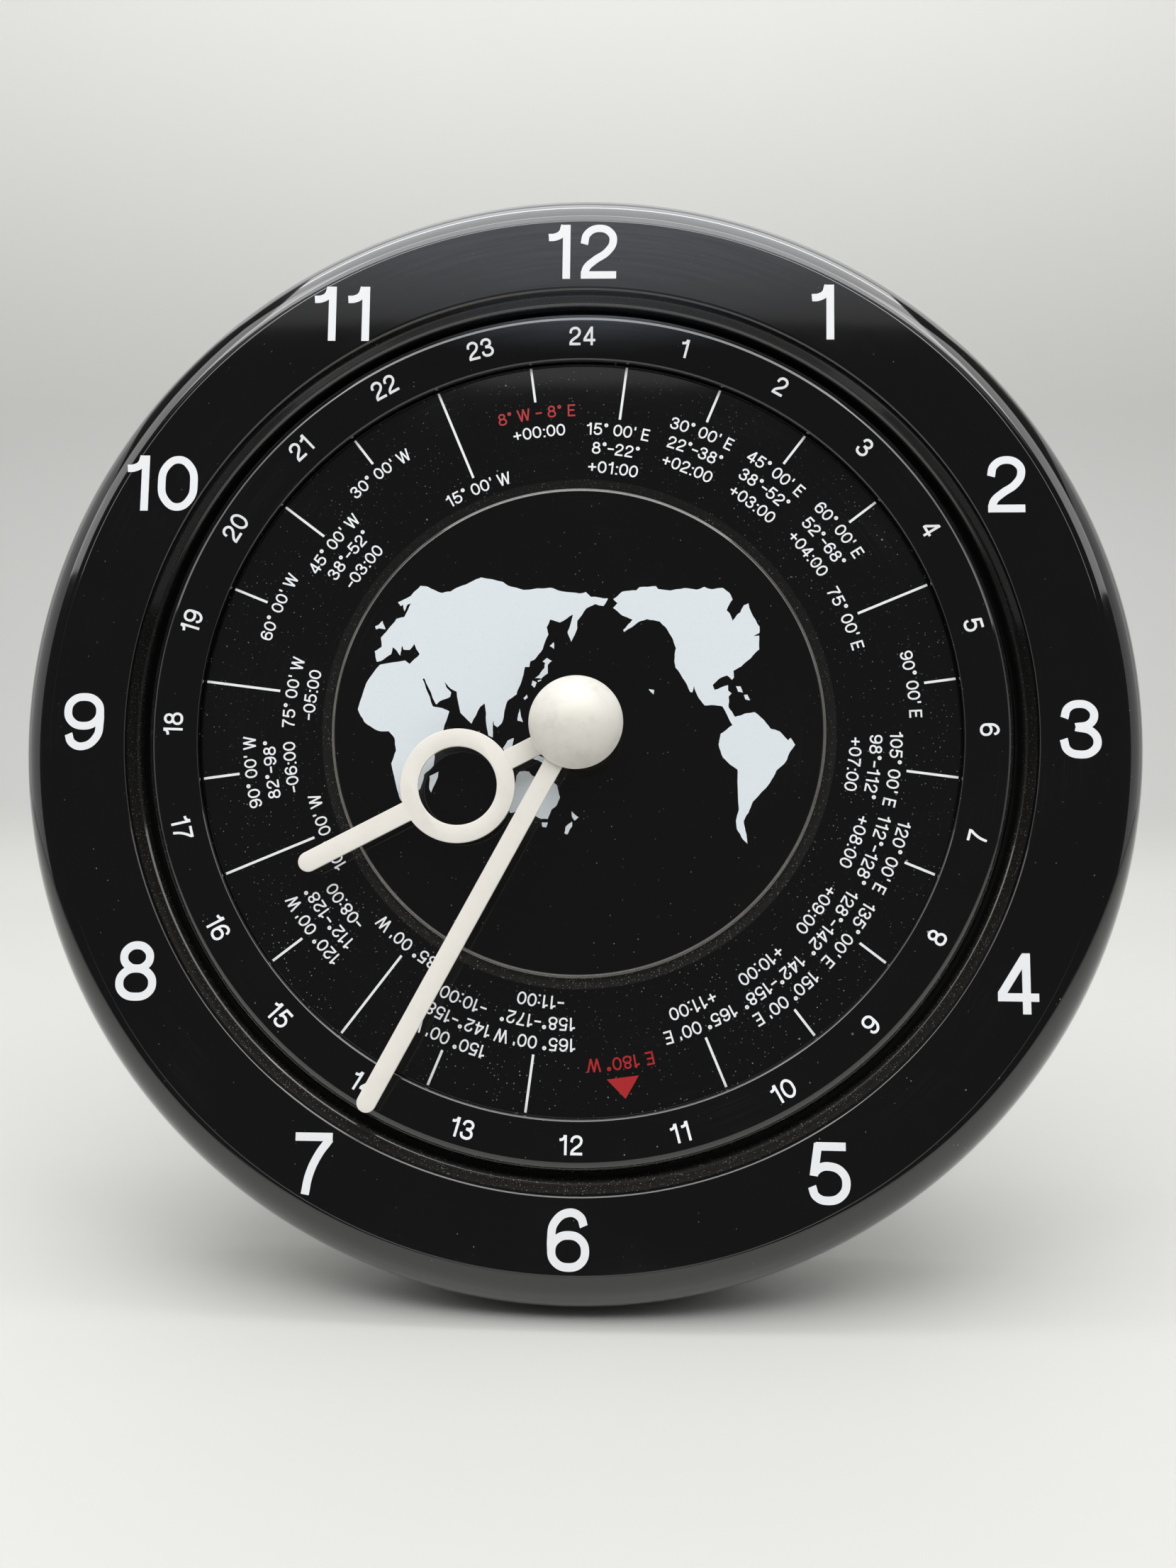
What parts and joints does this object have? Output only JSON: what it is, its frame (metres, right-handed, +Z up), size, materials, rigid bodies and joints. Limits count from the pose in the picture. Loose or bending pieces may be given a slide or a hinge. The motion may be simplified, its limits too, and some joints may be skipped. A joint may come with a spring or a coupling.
{
  "type": "world time table clock",
  "caption": "Round black table clock with white hands, an hour ring, a fixed day ring and a driven zone disc round a map disc; folding stand leg and wall keyhole.",
  "frame": {"origin": "on the surface that the clock stands on, under the middle of its box", "axes": "+Z up, +X to the viewer's right, -Y towards the viewer; the face leans back about X"},
  "size_m": [0.228, 0.077, 0.2251],
  "materials": {
    "gloss_black": "polished moulded styrene",
    "pan_black": "moulded, satin",
    "cover_black": "moulded, fine grain",
    "hand_cream": "painted cream white",
    "screw_steel": "zinc plated",
    "turned_brass": "turned",
    "wheel_acetal": "natural acetal",
    "movement_plastic": "moulded",
    "knob_red": "moulded",
    "magnet_grey": "sintered",
    "stator_iron": "stamped",
    "coil_copper": "enamelled wire",
    "board_green": "printed board",
    "chip_black": "epoxy drop",
    "crystal_can": "drawn can",
    "cell_wrap": "plain printed wrap",
    "contact_steel": "nickel plated",
    "foot_rubber": "moulded"
  },
  "bodies": {
    "case": {"front_frame": "gloss_black", "day_ring": "gloss_black", "dial_pan": "pan_black", "pan_screws": "screw_steel", "map_disc": "gloss_black", "centre_bushing": "turned_brass", "dial_washer": "turned_brass", "dial_nut": "turned_brass", "movement_front": "movement_plastic", "bushing_plate": "movement_plastic", "train_bridge": "movement_plastic", "movement_case": "movement_plastic", "movement_screws": "screw_steel", "stator": "stator_iron", "coil_bobbin": "movement_plastic", "coil_winding": "coil_copper", "circuit_board": "board_green", "circuit_chip": "chip_black", "quartz_crystal": "crystal_can", "dry_cell": "cell_wrap", "positive_contact": "contact_steel", "negative_contact": "contact_steel", "rear_cover": "cover_black", "case_screws": "screw_steel", "hinge_pin": "screw_steel", "front_feet": "foot_rubber"},
    "zone": {"zone_disc": "gloss_black", "day_wheel": "wheel_acetal"},
    "hour": {"hour_hand": "hand_cream", "hour_wheel": "wheel_acetal"},
    "minute": {"minute_hand": "hand_cream", "minute_arbor": "turned_brass", "hub_cap": "hand_cream", "clutch_spring": "screw_steel"},
    "setting": {"minute_wheel": "wheel_acetal", "setting_knob": "knob_red"},
    "centre_gear": {"centre_wheel": "turned_brass"},
    "third_gear": {"third_wheel": "wheel_acetal"},
    "seconds_gear": {"seconds_wheel": "wheel_acetal"},
    "fifth_gear": {"fifth_wheel": "wheel_acetal"},
    "rotor_gear": {"rotor": "wheel_acetal", "rotor_magnet": "magnet_grey"},
    "leg": {"stand_leg": "cover_black", "leg_pad": "foot_rubber"}
  },
  "joints": [
    {"name": "zone_turn", "type": "hinge", "parent": "case", "child": "zone", "pos_m": [0, -0.01643, 0.11494], "axis": [0, 0.9781, -0.2079], "continuous": true},
    {"name": "hour_turn", "type": "hinge", "parent": "case", "child": "hour", "pos_m": [0, -0.01643, 0.11494], "axis": [0, 0.9781, -0.2079], "continuous": true},
    {"name": "minute_turn", "type": "hinge", "parent": "case", "child": "minute", "pos_m": [0, -0.01643, 0.11494], "axis": [0, 0.9781, -0.2079], "continuous": true},
    {"name": "setting_turn", "type": "hinge", "parent": "case", "child": "setting", "pos_m": [0.01061, -0.01422, 0.12532], "axis": [0, 0.9781, -0.2079], "continuous": true},
    {"name": "centre_turn", "type": "hinge", "parent": "case", "child": "centre_gear", "pos_m": [0, -0.01643, 0.11494], "axis": [0, 0.9781, -0.2079], "continuous": true},
    {"name": "third_turn", "type": "hinge", "parent": "case", "child": "third_gear", "pos_m": [-0.0102, -0.01643, 0.11494], "axis": [0, 0.9781, -0.2079], "continuous": true},
    {"name": "seconds_turn", "type": "hinge", "parent": "case", "child": "seconds_gear", "pos_m": [-0.0147, -0.01481, 0.12257], "axis": [0, 0.9781, -0.2079], "continuous": true},
    {"name": "fifth_turn", "type": "hinge", "parent": "case", "child": "fifth_gear", "pos_m": [-0.0111, -0.01351, 0.12867], "axis": [0, 0.9781, -0.2079], "continuous": true},
    {"name": "rotor_turn", "type": "hinge", "parent": "case", "child": "rotor_gear", "pos_m": [-0.0041, -0.01351, 0.12867], "axis": [0, 0.9781, -0.2079], "continuous": true},
    {"name": "leg_fold", "type": "hinge", "parent": "case", "child": "leg", "pos_m": [0, 0.01101, 0.06413], "axis": [1, 0, 0], "range_deg": [-34, 0]}
  ],
  "couplings": [
    {"joint": "hour_turn", "follows": "zone_turn", "ratio": 2},
    {"joint": "minute_turn", "follows": "zone_turn", "ratio": 24},
    {"joint": "setting_turn", "follows": "zone_turn", "ratio": -8},
    {"joint": "third_turn", "follows": "seconds_turn", "ratio": -0.125},
    {"joint": "centre_turn", "follows": "seconds_turn", "ratio": 0.016667},
    {"joint": "fifth_turn", "follows": "seconds_turn", "ratio": -5},
    {"joint": "rotor_turn", "follows": "seconds_turn", "ratio": 30}
  ]
}
